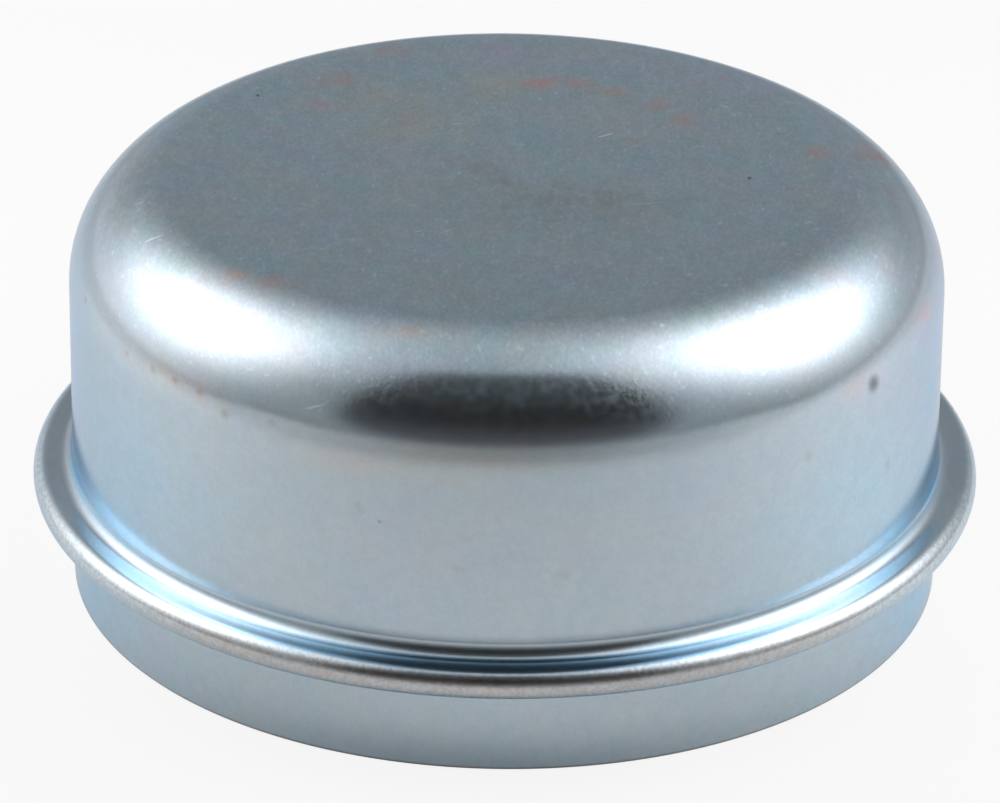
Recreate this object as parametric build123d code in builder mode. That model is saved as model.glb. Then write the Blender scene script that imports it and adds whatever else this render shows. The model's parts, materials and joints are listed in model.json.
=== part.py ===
"""Hub grease cap: a cup drawn from one disc of sheet steel, with a folded flange above its spigot.

Millimetres, +Z up along the axis. The origin is the centre of the spigot's open end.
"""

import os

from build123d import *

# Driving dimensions
sheet_thickness = 1.0
body_diameter = 62.0
overall_height = 30.45
crown_radius = 7.85
flange_projection = 2.83
fold_gap = 0.15
shoulder_bend_radius = 1.0
seat_bend_radius = 0.5
spigot_depth = 6.7
edge_break = 0.15

# The cup above the flange and the spigot below it are one drawn tube. The flange is that tube's
# wall folded back on itself, so it is two layers of sheet thick.
body_radius = body_diameter / 2
flange_radius = body_radius + flange_projection
flange_thickness = 2 * sheet_thickness + fold_gap
fold_centre = flange_radius - flange_thickness / 2
flange_seat = spigot_depth
flange_top = flange_seat + flange_thickness

with BuildPart() as grease_cap:
    with BuildSketch(Plane.XZ) as section:
        # The outer skin runs from the crown's centre down the cup, out along the flange, round the
        # fold, back along the seat and down the spigot. The sheet lies all along its inner side.
        with BuildLine() as skin:
            crown = Line((0, overall_height), (body_radius - crown_radius, overall_height))
            corner = TangentArc(
                crown @ 1, (body_radius, overall_height - crown_radius), tangent=crown % 1
            )
            wall = Line(corner @ 1, (body_radius, flange_top + shoulder_bend_radius))
            shoulder = TangentArc(
                wall @ 1, (body_radius + shoulder_bend_radius, flange_top), tangent=wall % 1
            )
            upper_layer = Line(shoulder @ 1, (fold_centre, flange_top))
            fold = TangentArc(upper_layer @ 1, (fold_centre, flange_seat), tangent=upper_layer % 1)
            lower_layer = Line(fold @ 1, (body_radius + seat_bend_radius, flange_seat))
            seat_bend = TangentArc(
                lower_layer @ 1, (body_radius, flange_seat - seat_bend_radius), tangent=lower_layer % 1
            )
            spigot = Line(seat_bend @ 1, (body_radius, 0))
            offset(amount=sheet_thickness, side=Side.RIGHT, mode=Mode.ADD)
        make_face()
    revolve(axis=Axis.Z)

    # The trimmed edge at the spigot's open end has its outer corner broken, to start in the hub's bore.
    open_end = grease_cap.faces().sort_by(Axis.Z)[0]
    chamfer(open_end.edges().sort_by(SortBy.RADIUS)[-1], edge_break)

grease_cap.part.label = "grease_cap"

os.makedirs("parts", exist_ok=True)
export_step(grease_cap.part, "parts/grease_cap.step")
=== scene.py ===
"""Hub grease cap: the looks of the part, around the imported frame.

Lengths are in millimetres up to the point where a mesh or camera is made, and in metres there.
+Z is the cap's axis, and the floor that it stands on is at z = 0. The camera stands on the -Y side.
"""

import json
import math
from types import SimpleNamespace

import bpy
import numpy as np
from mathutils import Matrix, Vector, noise


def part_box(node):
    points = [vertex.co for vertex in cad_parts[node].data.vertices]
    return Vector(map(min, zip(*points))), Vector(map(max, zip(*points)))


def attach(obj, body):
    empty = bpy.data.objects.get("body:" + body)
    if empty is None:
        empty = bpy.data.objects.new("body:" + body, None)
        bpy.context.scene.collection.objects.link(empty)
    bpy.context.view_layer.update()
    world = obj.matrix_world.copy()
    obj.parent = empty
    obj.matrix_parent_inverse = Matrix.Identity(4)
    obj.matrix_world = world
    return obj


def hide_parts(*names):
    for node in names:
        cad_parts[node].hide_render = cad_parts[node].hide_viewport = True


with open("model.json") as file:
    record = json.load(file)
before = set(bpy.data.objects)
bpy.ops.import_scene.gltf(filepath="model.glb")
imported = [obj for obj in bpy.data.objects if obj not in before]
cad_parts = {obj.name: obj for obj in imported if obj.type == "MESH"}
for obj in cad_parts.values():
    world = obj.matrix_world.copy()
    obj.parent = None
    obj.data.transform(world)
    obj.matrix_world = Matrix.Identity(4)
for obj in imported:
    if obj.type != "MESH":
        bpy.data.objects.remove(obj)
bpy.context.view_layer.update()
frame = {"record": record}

MM = 0.001

# Sizes of the cap that the frame gives
cap_low, cap_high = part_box("grease_cap")
mounts = {mount["name"]: mount for mount in frame["record"]["mounts"]}
HEIGHT = cap_high.z / MM
FLANGE_RADIUS = min(cap_high.x, cap_high.y, -cap_low.x, -cap_low.y) / MM
BODY_RADIUS = mounts["spigot"]["dims"]["r_mm"]
SEAT = mounts["flange_seat"]["pos_m"][2] / MM

# Sizes of the sheet and its bends, as in the part's source
SHEET = 1.0
CROWN_RADIUS = 7.85
SHOULDER_BEND = 1.0
SEAT_BEND = 0.5
FOLD_GAP = 0.15
EDGE_BREAK = 0.15

FLANGE_THICKNESS = 2 * SHEET + FOLD_GAP
FLANGE_TOP = SEAT + FLANGE_THICKNESS
FOLD_RADIUS = FLANGE_THICKNESS / 2
FOLD_CENTRE = FLANGE_RADIUS - FOLD_RADIUS
CROWN_FLAT = BODY_RADIUS - CROWN_RADIUS

# Mesh density: points round the axis, then the longest step along straights and round bends
SEGMENTS = 320
OUTER_STEPS = (0.5, math.radians(3.6))
INNER_STEPS = (2.0, math.radians(9.0))
SHARP_ANGLE = math.radians(35)

# Waves that drawing leaves in the sheet above a height, with shorter ones on them
WAVE_LENGTH = 7.0
WAVE_DEPTH = 0.02
WAVE_FOOT = 11.0
WAVE_FADE = 4.0
SHORT_WAVE_LENGTH = WAVE_LENGTH / 2.3
SHORT_WAVE_SHARE = 0.5

# Finish: reflectance of the plate in its cool and warm clouds, and towards grazing angles
ZINC_COOL = (0.5664, 0.70, 0.7854, 1)
ZINC_WARM = (0.6136, 0.70, 0.7469, 1)
EDGE_TINT = (0.828, 0.90, 0.972, 1)
# Share of the clouds and speckle that shows on the side
SIDE_FILM = 0.5
# Share of a dull film in the scuffs
SCUFF_FILM = 0.16

# Roughness, and what is added to it. On the outer face it stays below about 0.27, where the denoiser
# starts to take metal for a matt surface
ZINC_ROUGHNESS = 0.19
CLOUD_ROUGHNESS = 0.02
FOLD_ROUGHNESS = 0.06
RUST_ROUGHNESS = 0.06
SCUFF_ROUGHNESS = 0.05
INSIDE_ROUGHNESS = 0.12

# Depth of the relief: grain all over, more of it on the fold, scuffs and pits
GRAIN = 0.002
FOLD_GRAIN = 0.003
SCUFF = 0.011
PIT_DEPTH = 0.04

# Sizes of the noise patterns, and shifts that keep like ones apart
CLOUD_SIZE = 5.0
SECOND_CLOUD_SIZE = 2.6
SECOND_CLOUD_SHIFT = (40, 0, 0)
MOTTLE_SIZE = 1.3
MOTTLE_SHIFT = (0, 30, 0)
FINE_SIZE = 0.7
HAZE_SIZE = 0.6
DUST_AND_GLINT_SIZE = 0.4
SCUFF_SIZE = 0.36
GRAIN_SIZE = 0.26
SPECKLE_SIZE = 0.24
# Speckle, mottle, and the light specks of dust and painted glints are drawn out along y by one over this
DRAWN_STRETCH = 0.5

# Levels between which a pattern starts to show and shows in full
CLOUD_LEVELS = (0.3, 0.7)
GREEN_LEVELS = (0.5, 0.75)
PURPLE_LEVELS = (0.5, 0.25)
SPECKLE_LEVELS = (0.35, 0.65)
DUST_AND_GLINT_LEVELS = (0.70, 0.82)
WEAR_LEVELS = (0.42, 0.62)
HAZE_LEVELS = (0.35, 0.75)
ROUGH_LEVELS = (0.2, 0.8)
RAGGED_LEVELS = (0.25, 0.75)
# Strength of a ragged stain at those levels
RAGGED_STRENGTH = (0.55, 1.25)

# Tints: factors on the plate's red, green and blue
GREEN_CLOUD = (0.95, 1.02, 0.975)
PURPLE_CLOUD = (1.04, 0.965, 0.995)
FINE_SHADE = (0.95, 0.95, 0.925)
MOTTLE_SHADE = (0.96, 0.958, 0.962)
SPECKLE_SHADE = (0.92, 0.93, 0.945)
# Light specks: dust on the crown, and painted glints on its rounded edge
DUST_AND_GLINTS = (1.13, 1.13, 1.12)
RUST = (1.46, 0.80, 0.68)
# Tan: stains, and on the side's front a painted warm reflection
TAN_AND_WARM_REFLECTION = (1.18, 1.01, 0.85)
PINK = (1.14, 0.94, 1.03)
# Blue: the film's own tint near the outline, and a painted blue reflection low on the wall and on the
# spigot
BLUE_FILM_AND_REFLECTION = (0.68, 1.03, 1.24)
SMUDGE = (0.86, 0.78, 0.72)
DOT = (0.84, 0.74, 0.66)
PIT = (0.25, 0.24, 0.24)
SCRATCH = (1.7, 1.62, 1.55)
WARM_RIM = (1.0, 0.86, 0.79)
# Painted reflection: lifts the flange's crease into a lighter, bluer band at the sides
BLUE_REFLECTION_TINT = (1.15, 1.23, 1.27)
# Painted reflection: the front of the flange's flat darker and bluer
FRONT_PAINTED_REFLECTION = (0.70, 0.87, 1.02)
# Painted shade: the flange's crease darker at the sides and back
PAINTED_FLANGE_SHADE = (0.90, 0.865, 0.885)
BARE_FOLD = (1.13, 1.10, 1.07)
WORN_FOLD = (0.92, 0.905, 0.895)
# The trimmed edge's own browner tint, with painted contact shade: a dark line along the foot
TRIMMED_EDGE_AND_FOOT_SHADE = (0.62, 0.5, 0.42)
INSIDE = (0.86, 0.86, 0.84)

# Zones, each from where it starts to where it is full: first heights
CROWN_ZONE = (HEIGHT - 2.2, HEIGHT - 1.4)
SIDE_ZONE = (HEIGHT - 2.0, HEIGHT - 2.8)
UPPER_ZONE = (HEIGHT - 4.45, HEIGHT - 0.25)
# Zone of the light specks, which reaches down the rounded edge as painted glints
DUST_AND_GLINT_ZONE = (HEIGHT - 7.45, HEIGHT - 3.45)
BEND_FOOT = (FLANGE_TOP - 0.15, FLANGE_TOP + 0.05)
BEND_TOP = (FLANGE_TOP + 1.75, FLANGE_TOP + 1.25)
RIM_FOOT = (SEAT + 0.4, SEAT + 0.8)
RIM_TOP = (FLANGE_TOP - 0.25, FLANGE_TOP - 0.55)
FOLD_FOOT = (SEAT - 0.2, SEAT + 0.1)
# Height of the trimmed edge and of the painted shade along the foot
TRIM_AND_FOOT_SHADE_TOP = (0.32, 0.1)
# Then radii
# Radii of the trimmed edge and of the painted shade along the foot
TRIM_AND_FOOT_SHADE_SIDE = (BODY_RADIUS - 0.3, BODY_RADIUS - EDGE_BREAK)
BODY_SIDE = (BODY_RADIUS + 0.5, BODY_RADIUS + 0.1)
BEND_SIDE = (BODY_RADIUS + 0.6, BODY_RADIUS + 0.4)
CREASE_START = (BODY_RADIUS, BODY_RADIUS + 0.3)
CREASE_END = (FLANGE_RADIUS - 0.52, FLANGE_RADIUS - 0.82)
FLAT_START = (BODY_RADIUS + 0.4, BODY_RADIUS + 0.8)
FOLD_SIDE = (FLANGE_RADIUS - 0.82, FLANGE_RADIUS - 0.42)
RIM_SIDE = (FLANGE_RADIUS - 0.72, FLANGE_RADIUS - 0.32)
# Then places along y: two towards the front, and one towards the back
RIM_FRONT = (-20, -29)
# Where the painted reflection on the flange's flat starts, towards the front
PAINTED_REFLECTION_FRONT = (-26, -31)
# Where the painted shade on the flange's crease starts, towards the back
PAINTED_SHADE_BACK = (-13, -3)

# Camera: where it stands, which way it looks and its lens
CAMERA_PLACE = (0.0, -436.22, 232.76)
CAMERA_PITCH = math.radians(26.78252)
CAMERA_YAW = math.radians(0.0522)
CAMERA_ROLL = math.radians(0.57124)
CAMERA_LENS = 245.785
SENSOR_WIDTH = 36.0
CLIP_START = 10

# Studio: a small light tent. Directions are an azimuth from straight behind the cap towards +X, and an
# elevation, in degrees. Heights on the tent go from the horizon, 0, to the zenith, 1
# Its radius, its steps round and up, and the elevation where a flat top closes it
TENT_RADIUS = 185
TENT_STEPS = (64, 16)
TENT_TOP = 86
# Glowing areas of the tent: azimuth, elevation, half angles of the core across and up, and radiance
GLOWS = (
    (62, 2, 34, 12, 0.60),
    (-62, 8, 36, 13, 0.88),
    (87.3, 46, 21.4, 22.4, 3.5),
    (-80.5, 42, 21.6, 21.4, 3.2),
)
GLOW_TINT = (1.05, 0.99, 1.0)
GLOW_FALLOFF = 1.7
# Cosine of the widest angle from its middle at which a glow keeps its shape
GLOW_LIMIT = 0.05
# Level of the room at some heights
ROOM_LEVELS = ((0.0, 0.345), (0.53, 0.345), (0.62, 0.28), (1.0, 0.48))
ROOM_TINT = (0.96, 1.0, 1.035)
# Bright foot of the tent: heights where it starts to fade and ends, its level in front, and what the sides
# and the back add to that
FOOT_FADE = 0.03
FOOT_TOP = 0.075
FOOT_FRONT = 0.30
FOOT_SIDES = 0.42
FOOT_BACK = 0.22
# Dark seam above it: heights where it starts, is darkest and ends, and its shade
SEAM_FOOT = 0.055
SEAM_MIDDLE = 0.095
SEAM_TOP = 0.165
SEAM_SHADE = (0.74, 0.72, 0.72)
# Both rise towards the front, while the direction's y goes from the first of these to the second
FRONT_RISE = 0.085
FRONT_START = (-0.25, -0.6)
# Dark opening of the tent, at the camera's side: its middle, half sizes and how much wider its foot is, in
# degrees, the exponent that squares its corners, and the softness of its edge
OPENING_ELEVATION = 40
OPENING_HALF_HEIGHT = 30
OPENING_HALF_WIDTH = 39
OPENING_FLARE = 3
OPENING_ROUNDING = 4.6
OPENING_EDGE = 0.45
OPENING_SILL_COLOUR = (0.100, 0.094, 0.098, 1)
OPENING_FOOT_COLOUR = (0.027, 0.024, 0.023, 1)
OPENING_TOP_COLOUR = (0.075, 0.078, 0.080, 1)
# Where its colours change, in half heights from its middle
SILL_FADE = (-0.25, -1.0)
TOP_FADE = (-0.2, 1.0)

# Floor: its colour, and how white it looks to the camera
FLOOR_COLOUR = (0.82, 0.82, 0.82, 1)
FLOOR_WHITE_SEEN = 0.88
# Pools of light that the metal sees on it: x, y, half widths of the core along x and y, and whiteness
POOLS = (
    (-108, 0, 75, 52, 0.40),
    (128, 0, 90, 52, 0.60),
    (0, 130, 100, 50, 0.30),
    (0, -95, 90, 40, 0.04),
    (-44, -8, 18, 22, 0.16),
    (46, -8, 20, 25, 0.34),
)
# Half its side, and how far it lies under the cap
FLOOR_HALF_SIDE = 4000
FLOOR_DROP = 0.01

# Marks on the crown, in plan: x, y, half length, half width, angle and strength
RUST_STAINS = (
    (-12.2, 16.2, 1.9, 1.2, 20, 0.55),
    (-13.3, 11.6, 1.2, 1.2, 0, 0.3),
    (-8.6, 21.5, 1.4, 1.0, 0, 0.4),
    (2.5, 15.9, 1.9, 1.0, 8, 0.9),
    (5.1, 15.9, 1.2, 0.7, -25, 0.8),
    (7.5, 14.6, 1.3, 0.7, -20, 0.7),
    (10.6, 12.2, 0.8, 1.0, 0, 0.55),
    (12.7, 9.8, 1.1, 1.3, -30, 0.5),
    (8.9, 6.3, 0.8, 1.0, 0, 0.3),
    (22.1, 4.3, 0.7, 1.2, 0, 0.6),
    (26.3, 6.0, 1.4, 2.4, -20, 0.6),
    (-18.6, -16.2, 1.0, 0.7, -20, 0.5),
    (-15.8, -17.8, 1.2, 0.7, -10, 0.4),
    (-6.6, -24.4, 1.9, 0.6, -5, 0.2),
)
TAN_STAINS = (
    (-1.1, 15.1, 2.2, 2.4, 0, 0.8),
    (-3.2, 7.8, 1.4, 3.0, 0, 0.7),
    (-7.0, 8.5, 3.0, 3.0, 0, 0.8),
    (-9.0, 13.0, 3.0, 2.5, 0, 0.7),
    (8.0, 10.5, 2.0, 1.2, 0, 0.5),
    (-27.5, 8.0, 2.0, 4.0, 10, 0.5),
    (-6.6, -24.4, 2.1, 0.7, -5, 0.7),
    (-16.8, -17.2, 3.0, 0.7, -15, 0.6),
)
PINK_STAINS = (
    (-0.6, 21.6, 1.2, 2.8, 0, 0.9),
    (-17.1, 7.7, 1.2, 0.9, 0, 0.6),
    (3.0, 20.0, 6.0, 2.0, 0, 0.5),
    (15.0, 17.0, 5.0, 2.5, -30, 0.4),
    (-5.0, 3.0, 4.0, 1.5, 0, 0.3),
)
BROWN_SMUDGES = (
    (-3.9, 2.6, 1.6, 1.1, -40, 0.45),
    (-1.9, 0.8, 2.2, 1.2, -42, 0.55),
    (-0.4, -1.2, 1.2, 0.8, -30, 0.8),
    (2.2, -2.0, 2.0, 1.0, -8, 0.55),
    (4.3, -2.1, 0.9, 0.7, 0, 0.75),
    (5.6, -2.9, 1.8, 1.2, -15, 0.5),
    (8.8, -3.3, 1.0, 1.0, 0, 0.6),
    (3.7, -4.6, 6.5, 3.4, -8, 0.6),
    (-27.0, -0.7, 2.6, 7.0, 8, 0.35),
    (26.6, 6.2, 1.1, 2.0, -20, 0.7),
)
SCRATCHES = (
    (6.9, 6.9, 1.1, 0.13, 34, 1.0),
    (-3.7, 8.6, 0.8, 0.13, 15, 0.5),
    (15.6, 12.1, 0.8, 0.12, -35, 0.5),
    (-24.5, -9.6, 0.9, 0.15, 2, 0.9),
    (-25.7, -4.1, 0.5, 0.15, 10, 0.5),
    (10.0, -4.4, 1.1, 0.1, 12, 0.4),
    (20.1, 13.1, 0.4, 0.15, 0, 0.4),
    (20.9, -7.3, 0.5, 0.15, 30, 0.4),
    (12.5, -15.8, 0.25, 0.25, 0, 0.5),
    (10.5, -23.1, 0.28, 0.28, 0, 0.6),
    (-6.2, -9.4, 0.8, 0.14, 25, 0.35),
    (-4.2, -9.3, 0.9, 0.14, 40, 0.4),
    (14.9, -17.5, 0.3, 0.3, 0, 0.35),
)
DARK_SPECKS = (
    (17.0, -0.1, 0.2, 0.26, 0, 1.0),
    (-18.1, 13.2, 0.18, 0.24, 0, 1.0),
)
# Marks on the side, and painted reflections among them, unrolled: arc from the front middle, height, then
# as above
SIDE_RUST = (
    (27.0, 23.7, 1.6, 0.9, 10, 0.28),
    (-26.0, 24.5, 6.0, 0.7, 0, 0.12),
    (38.6, 24.8, 2.4, 0.6, -8, 0.6),
    (47.0, 25.3, 1.4, 0.8, 0, 0.4),
)
SIDE_DOTS = (
    (-39.4, 24.8, 0.6, 0.4, 0, 0.8),
    (-31.2, 24.3, 0.5, 0.4, 0, 0.6),
    (-27.9, 24.4, 0.7, 0.4, -30, 0.7),
    (-25.4, 24.5, 0.6, 0.4, 0, 0.8),
    (-22.9, 24.5, 0.65, 0.4, 0, 0.8),
    (-20.5, 23.7, 0.6, 0.5, 0, 0.7),
    (-16.7, 24.2, 0.7, 0.4, 0, 0.5),
    (-9.9, 19.3, 0.5, 0.9, 15, 0.4),
    (-3.1, 15.4, 0.9, 0.6, -20, 0.3),
    (4.0, 14.9, 0.9, 0.6, 30, 0.3),
    (22.6, 20.2, 0.6, 1.0, -10, 0.3),
    (31.8, 16.2, 0.6, 1.0, 0, 0.3),
)
# Tan on the side: the two bands near the front middle, under the dark reflection of the opening, are a
# painted warm reflection; the rest are stains
SIDE_TAN_AND_WARM_REFLECTION = (
    (-9.0, 22.6, 6.0, 1.0, 0, 0.6),
    (-26.0, 24.6, 8.0, 0.9, 0, 0.4),
    (-20.0, 17.0, 6.0, 5.0, 0, 0.15),
    (-3.0, 23.8, 9.0, 1.0, 0, 0.6),
)
SIDE_PINK = (
    (42.6, 22.6, 2.2, 1.5, 0, 1.0),
    (37.2, 23.4, 1.8, 1.1, 0, 0.9),
    (-42.2, 23.2, 1.6, 0.9, 0, 0.9),
    (30.0, 23.0, 2.5, 1.6, 0, 0.35),
    (34.0, 19.0, 3.5, 4.0, 0, 0.3),
    (-42.5, 16.0, 1.8, 4.0, 0, 0.6),
)
# Blue on the side: rows near the outline are the film's own tint; rows low on the wall, just above the
# flange, and on the spigot are a painted blue reflection of the flange
SIDE_BLUE_FILM_AND_REFLECTION = (
    (-42.0, 10.0, 4.5, 3.2, 0, 1.0),
    (-34.0, 10.2, 6.0, 2.0, 0, 0.6),
    (-43.0, 17.0, 2.2, 6.0, 0, 0.7),
    (-30.0, 14.0, 10.0, 7.0, 0, 0.3),
    (42.0, 10.0, 4.5, 2.8, 0, 1.0),
    (34.0, 10.2, 6.0, 2.0, 0, 0.6),
    (42.5, 21.5, 2.2, 2.2, 0, 0.7),
    (37.2, 22.8, 2.0, 1.6, 0, 0.3),
    (40.3, 17.8, 2.2, 3.0, 0, 0.6),
    (-42.0, 21.3, 2.0, 2.0, 0, 0.7),
    (30.0, 14.0, 10.0, 7.0, 0, 0.3),
    (-38.0, 3.4, 6.0, 3.6, 0, 0.35),
    (38.0, 3.4, 6.0, 3.6, 0, 0.5),
)
# Painted reflection on the flange's crease, at both sides: a lighter, bluer band
PAINTED_BLUE_BAND = (
    (-18.0, 8.9, 12.0, 0.7, 0, 0.8),
    (18.0, 8.9, 12.0, 0.7, 0, 0.8),
)
SCUFFS = (
    (8.0, 27.2, 4.0, 1.1, -10, 1.0),
    (-9.0, 27.4, 3.0, 1.0, 10, 0.6),
    (0.0, 27.9, 10.0, 0.9, 0, 0.6),
    (0.0, 26.4, 10.0, 1.2, 0, 0.2),
)
SIDE_PITS = (
    (29.5, 23.3, 0.95, 1.05, 62, 0.75),
    (-8.5, 18.5, 0.2, 0.2, 0, 0.4),
)
SIDE_SCRATCHES = (
    (-13.5, 25.9, 1.1, 0.12, 22, 0.5),
    (-26.8, 28.9, 0.4, 0.16, 80, 0.1),
)
# Share of a mark's reach over which it fades
DOT_SOFTNESS = 1.0
PIT_SOFTNESS = 0.9
SCRATCH_SOFTNESS = 0.8
SPECK_SOFTNESS = 0.7


class Section:
    """Half section of a turned thing: points (radius, height), carried on by straights and bends."""

    def __init__(self, start, steps):
        self.points = [start]
        self.straight_step, self.bend_step = steps

    def straight(self, end):
        """On to a point."""
        start = self.points[-1]
        count = max(1, math.ceil(math.dist(start, end) / self.straight_step))
        for i in range(1, count + 1):
            self.points.append(tuple(a + (b - a) * i / count for a, b in zip(start, end)))

    def bend(self, centre, radius, start, end):
        """Round an arc, between two angles in degrees."""
        count = math.ceil(math.radians(abs(end - start)) / self.bend_step)
        for i in range(1, count + 1):
            angle = math.radians(start + (end - start) * i / count)
            self.points.append((centre[0] + radius * math.cos(angle), centre[1] + radius * math.sin(angle)))


def sheet_face(depth, steps):
    """One face of the sheet, from the crown's middle to the top of the spigot.

    depth is how deep that face lies under the outer skin: 0 or the sheet's thickness.
    """
    face = Section((0.0, HEIGHT - depth), steps)
    face.straight((CROWN_FLAT, HEIGHT - depth))
    face.bend((CROWN_FLAT, HEIGHT - CROWN_RADIUS), CROWN_RADIUS - depth, 90, 0)
    face.straight((BODY_RADIUS - depth, FLANGE_TOP + SHOULDER_BEND))
    face.bend((BODY_RADIUS + SHOULDER_BEND, FLANGE_TOP + SHOULDER_BEND), SHOULDER_BEND + depth, 180, 270)
    face.straight((FOLD_CENTRE, FLANGE_TOP - depth))
    face.bend((FOLD_CENTRE, SEAT + FOLD_RADIUS), FOLD_RADIUS - depth, 90, -90)
    face.straight((BODY_RADIUS + SEAT_BEND, SEAT + depth))
    face.bend((BODY_RADIUS + SEAT_BEND, SEAT - SEAT_BEND), SEAT_BEND + depth, 90, 180)
    return face


def cap_section():
    """Both faces of the sheet, each from the crown's middle to the trimmed edge."""
    outer = sheet_face(0.0, OUTER_STEPS)
    outer.straight((BODY_RADIUS, EDGE_BREAK))
    outer.straight((BODY_RADIUS - EDGE_BREAK, 0.0))
    inner = sheet_face(SHEET, INNER_STEPS)
    inner.straight((BODY_RADIUS - SHEET, 0.0))
    return np.array(outer.points), np.array(inner.points)


def turn(points):
    """Rings of points made by turning (radius, height) pairs about the axis."""
    angles = 2 * math.pi * np.arange(SEGMENTS) / SEGMENTS
    radius, height = points[:, :1], points[:, 1:]
    return np.stack([radius * np.cos(angles), radius * np.sin(angles), height + 0 * angles], axis=2)


def swell(point):
    """Height of the waves at a point, from 0 to 1."""
    long_wave = noise.noise(Vector(point / WAVE_LENGTH))
    short_wave = noise.noise(Vector(point / SHORT_WAVE_LENGTH))
    most = 1 + SHORT_WAVE_SHARE
    return (long_wave + SHORT_WAVE_SHARE * short_wave + most) / (2 * most)


def waved(outer):
    """Outer face turned about the axis, with faint waves pressed into it, always inwards."""
    tangent = np.gradient(outer, axis=0)
    tangent /= np.linalg.norm(tangent, axis=1)[:, None]
    turned = turn(outer)
    outwards = turn(np.stack([-tangent[:, 1], tangent[:, 0]], axis=1))
    for ring, height in enumerate(outer[:, 1]):
        depth = WAVE_DEPTH * min(1.0, max(0.0, (height - WAVE_FOOT) / WAVE_FADE))
        if depth > 0.0:
            for i, point in enumerate(turned[ring]):
                turned[ring, i] -= outwards[ring, i] * depth * swell(point)
    return turned


def ring_faces(first, count):
    """Quads between count rings of vertices that follow each other from index first."""
    ring, i = np.meshgrid(np.arange(count - 1), np.arange(SEGMENTS), indexing="ij")
    here = first + ring * SEGMENTS + i
    beside = first + ring * SEGMENTS + (i + 1) % SEGMENTS
    quads = np.stack([here, here + SEGMENTS, beside + SEGMENTS, beside], axis=2)
    return quads.reshape(-1, 4).tolist()


def hub_faces(middle, first, outwards):
    """Triangles from a ring of vertices to the one vertex on the axis."""
    fan = [(middle, first + i, first + (i + 1) % SEGMENTS) for i in range(SEGMENTS)]
    return fan if outwards else [face[::-1] for face in fan]


def cap_mesh():
    """The cap's skin: the outer face down to the trimmed edge, and the inner face back up to the crown."""
    outer, inner = cap_section()
    outside, inside = waved(outer), turn(inner)
    rings = np.concatenate([outside[1:], inside[:0:-1]])
    places = np.concatenate([outside[0, :1], rings.reshape(-1, 3), inside[0, :1]])
    faces = hub_faces(0, 1, True) + ring_faces(1, len(rings))
    faces += hub_faces(len(places) - 1, 1 + (len(rings) - 1) * SEGMENTS, False)
    mesh = bpy.data.meshes.new("grease_cap_skin")
    mesh.from_pydata((places * MM).tolist(), [], faces)
    mesh.shade_smooth()
    mesh.set_sharp_from_angle(angle=SHARP_ANGLE)
    on_outside = np.arange(len(places)) < 1 + (len(outer) - 1) * SEGMENTS
    add_layers(mesh, places, on_outside)
    return mesh


def add_layers(mesh, places, on_outside):
    """Point attributes that the finish reads: the inner face, and the stains of the outer, with the painted
    reflections among them.
    """
    x, y, z = places.T
    crown = np.interp(z, CROWN_ZONE, (0, 1)) * on_outside
    side = np.interp(z, SIDE_ZONE[::-1], (1, 0)) * on_outside
    arc = BODY_RADIUS * np.arctan2(x, -y)
    none = ()
    # The blue and tan layers also hold painted reflections
    stains_and_reflections = {
        "rust": (RUST_STAINS, SIDE_RUST),
        "tan": (TAN_STAINS, SIDE_TAN_AND_WARM_REFLECTION),
        "pink": (PINK_STAINS, SIDE_PINK),
        "blue": (none, SIDE_BLUE_FILM_AND_REFLECTION),
        "smudge": (BROWN_SMUDGES, none),
    }
    layers = {
        "inner_face": 1.0 - on_outside,
        "scuff": ellipses(arc, z, SCUFFS) * on_outside,
        # Painted reflection: the blue band on the flange's crease
        "painted_blue_band": ellipses(arc, z, PAINTED_BLUE_BAND) * on_outside,
    }
    for name, (on_crown, on_side) in stains_and_reflections.items():
        layers[name] = np.maximum(ellipses(x, y, on_crown) * crown, ellipses(arc, z, on_side) * side)
    for name, values in layers.items():
        mesh.attributes.new(name, "FLOAT", "POINT").data.foreach_set("value", values.astype(np.float32))


def ellipses(x, y, rows):
    """Strength of soft ellipses at each point."""
    mask = np.zeros_like(x)
    for centre_x, centre_y, half_length, half_width, angle, strength in rows:
        turned = (x - centre_x + 1j * (y - centre_y)) * np.exp(-1j * math.radians(angle))
        reach = np.hypot(turned.real / half_length, turned.imag / half_width)
        mask = np.maximum(mask, strength * np.exp(-(reach**2)))
    return mask


def new_tree(owner):
    """Empty node tree of a material or world."""
    owner.use_nodes = True
    owner.node_tree.nodes.clear()
    return owner.node_tree


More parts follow.
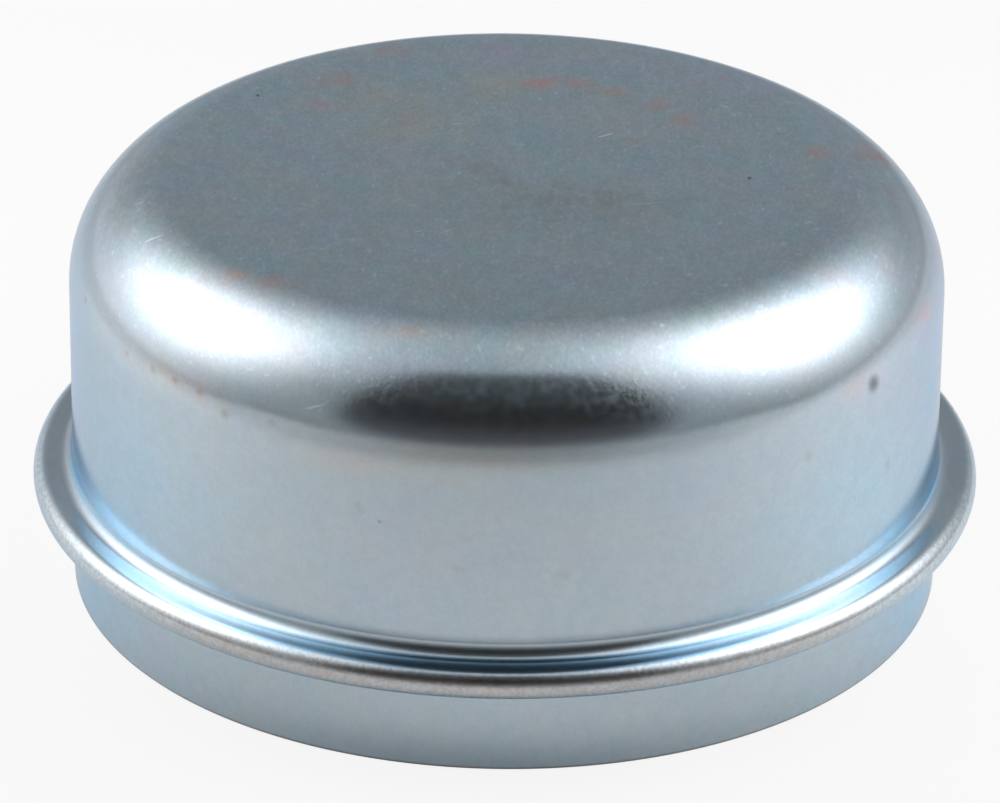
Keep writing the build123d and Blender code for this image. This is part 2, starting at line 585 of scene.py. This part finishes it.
class Graph:
    """Adds nodes to one tree. Most calls take sockets or plain values, and return an output socket."""

    def __init__(self, tree):
        self.tree = tree

    def node(self, kind, inputs, **settings):
        """A node itself, with sockets linked or values set on its inputs."""
        made = self.tree.nodes.new("ShaderNode" + kind)
        for name, value in settings.items():
            setattr(made, name, value)
        for key, value in inputs.items():
            if isinstance(value, bpy.types.NodeSocket):
                self.tree.links.new(value, made.inputs[key])
            else:
                made.inputs[key].default_value = value
        return made

    def math(self, operation, a, b=0.0, c=0.0):
        return self.node("Math", {0: a, 1: b, 2: c}, operation=operation).outputs[0]

    def vector(self, operation, a, b=(0.0, 0.0, 0.0)):
        made = self.node("VectorMath", {0: a, 1: b}, operation=operation)
        return made.outputs["Value" if operation in ("LENGTH", "DOT_PRODUCT") else "Vector"]

    def product(self, first, *others):
        """Masks multiplied together."""
        for other in others:
            first = self.math("MULTIPLY", first, other)
        return first

    def ramp(self, value, start, end, low=0.0, high=1.0):
        """Smooth rise from low to high while value goes from start to end."""
        inputs = {"Value": value, 1: start, 2: end, 3: low, 4: high}
        return self.node("MapRange", inputs, interpolation_type="SMOOTHSTEP").outputs["Result"]

    def band(self, value, rise, fall):
        """Mask that rises over one zone and falls over another."""
        return self.product(self.ramp(value, *rise), self.ramp(value, *fall))

    def noise(self, place, size, detail):
        """Cloudy noise from 0 to 1, with features of about the given size."""
        return self.node("TexNoise", {"Vector": place, "Scale": 1 / size, "Detail": detail}).outputs["Fac"]

    def glow(self, local):
        """Soft spot: 1 in the middle, sunk to 1 / e where the local vector is 1 long."""
        reach = self.vector("LENGTH", local)
        return self.math("POWER", math.exp(-1), self.math("POWER", reach, GLOW_FALLOFF))

    def layer(self, name):
        """Point attribute of the mesh."""
        return self.node("Attribute", {}, attribute_name=name).outputs["Fac"]

    def mix(self, share, first, second):
        """Colour between two, at the second where share is 1."""
        return self.node("Mix", {0: share, 6: first, 7: second}, data_type="RGBA").outputs[2]

    def tint(self, share, colour, factor):
        """Multiplies a colour by a factor per channel, as far as share says."""
        inputs = {0: share, 6: colour, 7: (*factor, 1)}
        return self.node("Mix", inputs, data_type="RGBA", blend_type="MULTIPLY").outputs[2]

    def marks(self, place, rows, softness):
        """Mask of soft ellipses. A row is x, y, half length, half width, angle in degrees and strength."""
        mask = 0.0
        for x, y, half_length, half_width, angle, strength in rows:
            inputs = {
                "Vector": place,
                "Location": (x, y, 0),
                "Rotation": (0, 0, math.radians(angle)),
                "Scale": (half_length, half_width, 1),
            }
            local = self.node("Mapping", inputs, vector_type="TEXTURE").outputs["Vector"]
            spot = self.ramp(self.vector("LENGTH", local), 1.0, 1.0 - softness, 0.0, strength)
            mask = self.math("MAXIMUM", mask, spot)
        return mask


def skin(g):
    """What several parts of the finish read: places in millimetres, zones, patterns and marks.

    The functions of the finish take it as s, with g, the graph that gets their nodes.
    """
    s = SimpleNamespace()
    position = g.node("TexCoord", {}).outputs["Object"]
    s.place = g.node("VectorMath", {0: position, "Scale": 1 / MM}, operation="SCALE").outputs[0]
    axes = g.node("SeparateXYZ", {0: s.place}).outputs
    s.y = axes["Y"]
    s.height = axes["Z"]
    s.flat = g.vector("MULTIPLY", s.place, (1, 1, 0))
    s.radius = g.vector("LENGTH", s.flat)
    angle = g.math("ARCTAN2", axes["X"], g.math("MULTIPLY", axes["Y"], -1.0))
    arc = g.math("MULTIPLY", angle, BODY_RADIUS)
    s.unrolled = g.node("CombineXYZ", {0: arc, 1: s.height}).outputs[0]
    s.drawn = g.vector("MULTIPLY", s.place, (1, DRAWN_STRETCH, 1))

    s.inner = g.layer("inner_face")
    s.outside = g.math("SUBTRACT", 1.0, s.inner)
    s.on_crown = g.product(g.ramp(s.height, *CROWN_ZONE), s.outside)
    s.fold = g.product(g.ramp(s.radius, *FOLD_SIDE), g.ramp(s.height, *FOLD_FOOT))

    s.cloud = g.noise(s.place, CLOUD_SIZE, detail=2.0)
    s.fine = g.noise(s.drawn, FINE_SIZE, detail=2.0)
    s.speckle = g.noise(s.drawn, SPECKLE_SIZE, detail=1.0)
    s.ragged = g.ramp(s.fine, *RAGGED_LEVELS, *RAGGED_STRENGTH)
    s.rust = g.product(g.layer("rust"), s.ragged)
    s.pits = g.marks(s.unrolled, SIDE_PITS, PIT_SOFTNESS)
    s.scuff = g.layer("scuff")
    s.haze = g.product(s.scuff, g.ramp(g.noise(s.place, HAZE_SIZE, detail=2.0), *HAZE_LEVELS))
    return s


def film(g, s):
    """Colour of the plate: warm and cool clouds, green and purple ones, speckle, and light specks of dust
    and painted glints.
    """
    upper = g.ramp(s.height, *UPPER_ZONE, SIDE_FILM, 1.0)
    warmth = g.math("MULTIPLY_ADD", g.ramp(s.cloud, *CLOUD_LEVELS, -0.5, 0.5), upper, 0.5)
    colour = g.mix(warmth, ZINC_COOL, ZINC_WARM)
    second = g.noise(g.vector("ADD", s.place, SECOND_CLOUD_SHIFT), SECOND_CLOUD_SIZE, detail=2.0)
    mottle = g.noise(g.vector("ADD", s.drawn, MOTTLE_SHIFT), MOTTLE_SIZE, detail=1.0)
    patterns = (
        (second, GREEN_LEVELS, GREEN_CLOUD),
        (second, PURPLE_LEVELS, PURPLE_CLOUD),
        (s.fine, SPECKLE_LEVELS, FINE_SHADE),
        (mottle, SPECKLE_LEVELS, MOTTLE_SHADE),
        (s.speckle, SPECKLE_LEVELS, SPECKLE_SHADE),
    )
    for pattern, levels, factor in patterns:
        colour = g.tint(g.product(g.ramp(pattern, *levels), upper), colour, factor)
    # Light specks: dust on the crown, and painted glints on its rounded edge
    dust_and_glints = g.ramp(g.noise(s.drawn, DUST_AND_GLINT_SIZE, detail=0.0), *DUST_AND_GLINT_LEVELS)
    dust_and_glints = g.product(dust_and_glints, g.ramp(s.height, *DUST_AND_GLINT_ZONE), s.outside)
    return g.tint(dust_and_glints, colour, DUST_AND_GLINTS)


def stained(g, s, colour):
    """Adds the stains, with the painted blue and warm reflections among them, dots, pits, specks and
    scratches to a colour.
    """
    colour = g.tint(s.rust, colour, RUST)
    # Tan: stains, and on the side's front a painted warm reflection
    colour = g.tint(g.product(g.layer("tan"), s.ragged), colour, TAN_AND_WARM_REFLECTION)
    colour = g.tint(g.layer("pink"), colour, PINK)
    # Blue: the film's own tint, and a painted blue reflection low on the wall and on the spigot
    colour = g.tint(g.product(g.layer("blue"), g.ramp(s.radius, *BODY_SIDE)), colour, BLUE_FILM_AND_REFLECTION)
    colour = g.tint(g.product(g.layer("smudge"), s.ragged), colour, SMUDGE)
    dots = g.product(g.marks(s.unrolled, SIDE_DOTS, DOT_SOFTNESS), s.ragged)
    colour = g.tint(dots, colour, DOT)
    specks = g.product(g.marks(s.flat, DARK_SPECKS, SPECK_SOFTNESS), s.on_crown)
    colour = g.tint(g.math("MAXIMUM", s.pits, specks), colour, PIT)
    scratches = g.product(g.marks(s.flat, SCRATCHES, SCRATCH_SOFTNESS), s.on_crown)
    side_scratches = g.marks(s.unrolled, SIDE_SCRATCHES, SCRATCH_SOFTNESS)
    return g.tint(g.math("MAXIMUM", scratches, side_scratches), colour, SCRATCH)


def worn(g, s, colour):
    """Adds the flange's wear, its painted reflections and painted shade, the trimmed edge with painted
    shade along the foot, and the plainer inside to a colour.
    """
    rim = g.product(g.band(s.height, RIM_FOOT, RIM_TOP), g.ramp(s.radius, *RIM_SIDE))
    rim = g.product(rim, g.ramp(s.y, *RIM_FRONT), s.ragged)
    colour = g.tint(rim, colour, WARM_RIM)
    crease = g.band(s.radius, CREASE_START, CREASE_END)
    # Painted reflection: the lighter, bluer band on the flange's crease
    colour = g.tint(g.product(g.layer("painted_blue_band"), crease), colour, BLUE_REFLECTION_TINT)
    # Painted reflection: the front of the flange's flat darker and bluer
    on_flat = g.product(crease, g.ramp(s.radius, *FLAT_START), s.outside)
    colour = g.tint(g.product(on_flat, g.ramp(s.y, *PAINTED_REFLECTION_FRONT)), colour, FRONT_PAINTED_REFLECTION)
    # Painted shade: the flange's crease darker at the sides and back
    painted_shade = g.product(crease, g.ramp(s.y, *PAINTED_SHADE_BACK), s.outside)
    colour = g.tint(painted_shade, colour, PAINTED_FLANGE_SHADE)
    colour = g.tint(s.fold, colour, BARE_FOLD)
    colour = g.tint(g.product(s.fold, g.ramp(s.speckle, *WEAR_LEVELS)), colour, WORN_FOLD)
    # Trimmed edge, browner, with painted contact shade darkening the foot
    trimmed_and_foot_shade = g.product(g.ramp(s.height, *TRIM_AND_FOOT_SHADE_TOP), g.ramp(s.radius, *TRIM_AND_FOOT_SHADE_SIDE))
    colour = g.tint(trimmed_and_foot_shade, colour, TRIMMED_EDGE_AND_FOOT_SHADE)
    return g.tint(s.inner, colour, INSIDE)


def roughness(g, s):
    """Roughness: clouded, and rougher on the fold, in the bend above it, on rust and scuffs, and inside."""
    bend = g.product(g.band(s.height, BEND_FOOT, BEND_TOP), g.ramp(s.radius, *BEND_SIDE))
    added = (
        (g.math("MAXIMUM", s.fold, bend), FOLD_ROUGHNESS),
        (s.rust, RUST_ROUGHNESS),
        (s.haze, SCUFF_ROUGHNESS),
        (s.inner, INSIDE_ROUGHNESS),
    )
    most, least = ZINC_ROUGHNESS + CLOUD_ROUGHNESS, ZINC_ROUGHNESS - CLOUD_ROUGHNESS
    rough = g.ramp(s.cloud, *ROUGH_LEVELS, most, least)
    for mask, amount in added:
        rough = g.math("MULTIPLY_ADD", mask, amount, rough)
    return rough


def relief(g, s):
    """Height of the surface in millimetres: fine grain, scuffs and pits."""
    grain = g.math("MULTIPLY_ADD", s.fold, FOLD_GRAIN, GRAIN)
    height = g.math("MULTIPLY", g.noise(s.place, GRAIN_SIZE, detail=1.0), grain)
    scuff = g.math("MULTIPLY", s.scuff, SCUFF)
    height = g.math("MULTIPLY_ADD", g.noise(s.place, SCUFF_SIZE, detail=1.0), scuff, height)
    return g.math("MULTIPLY_ADD", s.pits, -PIT_DEPTH, height)


def zinc():
    """Bright zinc plate with a clear blue chromate: clouded, grained, stained and lightly scratched, with
    painted reflections, painted shade and painted glints.
    """
    material = bpy.data.materials.new("zinc_plated_steel")
    g = Graph(new_tree(material))
    s = skin(g)
    bump = g.node("Bump", {"Strength": 1.0, "Distance": MM, "Height": relief(g, s)})
    inputs = {
        "Base Color": worn(g, s, stained(g, s, film(g, s))),
        "Metallic": g.math("MULTIPLY_ADD", s.haze, -SCUFF_FILM, 1.0),
        "Roughness": roughness(g, s),
        "Specular Tint": EDGE_TINT,
        "Normal": bump.outputs["Normal"],
    }
    shader = g.node("BsdfPrincipled", inputs)
    g.node("OutputMaterial", {"Surface": shader.outputs["BSDF"]})
    return material


def direction(azimuth, elevation):
    """Unit vector of a direction in the studio."""
    a, e = math.radians(azimuth), math.radians(elevation)
    return (math.sin(a) * math.cos(e), math.cos(a) * math.cos(e), math.sin(e))


def room_colour(g, height):
    """Pale room, brightest at the ceiling."""
    node = g.node("ValToRGB", {"Fac": height})
    for place, _ in ROOM_LEVELS[1:-1]:
        node.color_ramp.elements.new(place)
    for element, (_, level) in zip(node.color_ramp.elements, ROOM_LEVELS):
        element.color = (*(level * c for c in ROOM_TINT), 1)
    return node.outputs["Color"]


def with_glows(g, way, light):
    """Adds the glowing areas to the tent's light."""
    for azimuth, elevation, across, up, radiance in GLOWS:
        middle = Vector(direction(azimuth, elevation))
        right = Vector(direction(azimuth + 90, 0))
        sideways = right / math.tan(math.radians(across))
        upwards = middle.cross(right) / math.tan(math.radians(up))
        ahead = g.math("MAXIMUM", g.vector("DOT_PRODUCT", way, middle), GLOW_LIMIT)
        x = g.math("DIVIDE", g.vector("DOT_PRODUCT", way, sideways), ahead)
        y = g.math("DIVIDE", g.vector("DOT_PRODUCT", way, upwards), ahead)
        share = g.glow(g.node("CombineXYZ", {0: x, 1: y}).outputs[0])
        light = g.mix(share, light, (*(radiance * c for c in GLOW_TINT), 1))
    return light


def with_foot(g, axes, light):
    """Adds the bright foot and the dark seam above it to the tent's light."""
    sides = g.math("MULTIPLY_ADD", g.math("POWER", axes["X"], 2.0), FOOT_SIDES, FOOT_FRONT)
    level = g.math("MULTIPLY_ADD", g.math("MAXIMUM", axes["Y"], 0.0), FOOT_BACK, sides)
    height = g.math("SUBTRACT", axes["Z"], g.ramp(axes["Y"], *FRONT_START, 0.0, FRONT_RISE))
    light = g.mix(g.ramp(height, FOOT_TOP, FOOT_FADE), light, level)
    seam = g.band(height, (SEAM_FOOT, SEAM_MIDDLE), (SEAM_TOP, SEAM_MIDDLE))
    return g.tint(seam, light, SEAM_SHADE)


def with_opening(g, axes, light):
    """Adds the dark opening, a rounded oblong, to the tent's light."""
    azimuth = g.math("ARCTAN2", axes["X"], g.math("MULTIPLY", axes["Y"], -1.0))
    elevation = g.math("SUBTRACT", g.math("ARCSINE", axes["Z"]), math.radians(OPENING_ELEVATION))
    rise = g.math("DIVIDE", elevation, math.radians(OPENING_HALF_HEIGHT))
    flare = -math.radians(OPENING_FLARE)
    half_width = g.math("MULTIPLY_ADD", rise, flare, math.radians(OPENING_HALF_WIDTH))
    x = g.math("ABSOLUTE", g.math("DIVIDE", azimuth, half_width))
    y = g.math("ABSOLUTE", rise)
    reach = g.math("ADD", g.math("POWER", x, OPENING_ROUNDING), g.math("POWER", y, OPENING_ROUNDING))
    dark = g.mix(g.ramp(rise, *TOP_FADE), OPENING_FOOT_COLOUR, OPENING_TOP_COLOUR)
    dark = g.mix(g.ramp(rise, *SILL_FADE), dark, OPENING_SILL_COLOUR)
    return g.mix(g.ramp(reach, 1 + OPENING_EDGE, 1 - OPENING_EDGE), light, dark)


def tent_light():
    """Light of the tent: the pale room with soft glows, a bright foot and the dark opening."""
    material = bpy.data.materials.new("tent")
    material.cycles.emission_sampling = "NONE"
    g = Graph(new_tree(material))
    way = g.vector("NORMALIZE", g.node("TexCoord", {}).outputs["Object"])
    axes = g.node("SeparateXYZ", {0: way}).outputs
    light = with_glows(g, way, room_colour(g, axes["Z"]))
    light = with_opening(g, axes, with_foot(g, axes, light))
    glow = g.node("Emission", {"Color": light, "Strength": 1.0}).outputs["Emission"]
    g.node("OutputMaterial", {"Surface": glow})
    return material


def white_floor():
    """Pale floor that looks whiter than it is lit, and keeps the shadow.

    To the camera it does so all over, and in the metal only in the pools. Seen from below it is clear.
    """
    material = bpy.data.materials.new("floor")
    material.cycles.emission_sampling = "NONE"
    g = Graph(new_tree(material))
    position = g.node("TexCoord", {}).outputs["Object"]
    mirrored_white = 0.0
    for x, y, half_x, half_y, white in POOLS:
        local = g.vector("SUBTRACT", position, (x * MM, y * MM, 0))
        pool = g.glow(g.vector("DIVIDE", local, (half_x * MM, half_y * MM, 1)))
        mirrored_white = g.math("MULTIPLY_ADD", pool, white, mirrored_white)
    path = g.node("LightPath", {}).outputs
    mirrored = g.math("MAXIMUM", path["Is Glossy Ray"], path["Is Transmission Ray"])
    share = g.math("MULTIPLY", mirrored, mirrored_white)
    share = g.math("MULTIPLY_ADD", path["Is Camera Ray"], FLOOR_WHITE_SEEN, share)
    lit = g.node("BsdfDiffuse", {"Color": FLOOR_COLOUR}).outputs["BSDF"]
    glow = g.node("Emission", {"Strength": 1.0}).outputs["Emission"]
    top = g.node("MixShader", {0: share, 1: lit, 2: glow}).outputs["Shader"]
    clear = g.node("BsdfTransparent", {}).outputs["BSDF"]
    below = g.node("NewGeometry", {}).outputs["Backfacing"]
    surface = g.node("MixShader", {0: below, 1: top, 2: clear}).outputs["Shader"]
    g.node("OutputMaterial", {"Surface": surface})
    return material


def stage_item(name, corners, faces, material):
    """Stage object with corners in millimetres."""
    mesh = bpy.data.meshes.new(name)
    mesh.from_pydata([tuple(c * MM for c in corner) for corner in corners], [], faces)
    mesh.materials.append(material)
    item = bpy.data.objects.new(name, mesh)
    bpy.context.collection.objects.link(item)
    return item


def tent():
    """Dome round the cap, down to the floor. The camera doesn't see it."""
    around, rings = TENT_STEPS
    corners = []
    for ring in range(rings + 1):
        for i in range(around):
            way = direction(360 * i / around, TENT_TOP * ring / rings)
            corners.append([c * TENT_RADIUS for c in way])
    faces = [tuple(rings * around + i for i in range(around))]
    for ring in range(rings):
        for i in range(around):
            here = ring * around + i
            beside = ring * around + (i + 1) % around
            faces.append((here, beside, beside + around, here + around))
    stage_item("tent", corners, faces, tent_light()).visible_camera = False


def room():
    """World outside the tent."""
    world = bpy.data.worlds.new("room")
    world.cycles.sampling_method = "NONE"
    bpy.context.scene.world = world
    g = Graph(new_tree(world))
    height = g.node("SeparateXYZ", {0: g.node("TexCoord", {}).outputs["Generated"]}).outputs["Z"]
    background = g.node("Background", {"Color": room_colour(g, height)}).outputs["Background"]
    g.node("OutputWorld", {"Surface": background})


def studio():
    """Pale floor inside a light tent."""
    room()
    edge = FLOOR_HALF_SIDE
    plan = ((-edge, -edge), (edge, -edge), (edge, edge), (-edge, edge))
    stage_item("floor", [(x, y, -FLOOR_DROP) for x, y in plan], [(0, 1, 2, 3)], white_floor())
    tent()


def camera():
    """Camera at the photo's viewing angle."""
    lens = bpy.data.cameras.new("camera")
    lens.lens = CAMERA_LENS
    lens.sensor_width = SENSOR_WIDTH
    lens.clip_start = CLIP_START * MM
    item = bpy.data.objects.new("camera", lens)
    bpy.context.collection.objects.link(item)
    item.location = [c * MM for c in CAMERA_PLACE]
    item.rotation_euler = (math.pi / 2 - CAMERA_PITCH, 0, CAMERA_YAW)
    item.rotation_euler.rotate_axis("Z", CAMERA_ROLL)
    bpy.context.scene.camera = item


cap = bpy.data.objects.new("grease_cap_skin", cap_mesh())
bpy.context.collection.objects.link(cap)
cap.data.materials.append(zinc())
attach(cap, "root")
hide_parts("grease_cap")

studio()
camera()
bpy.context.scene.view_settings.view_transform = "Standard"
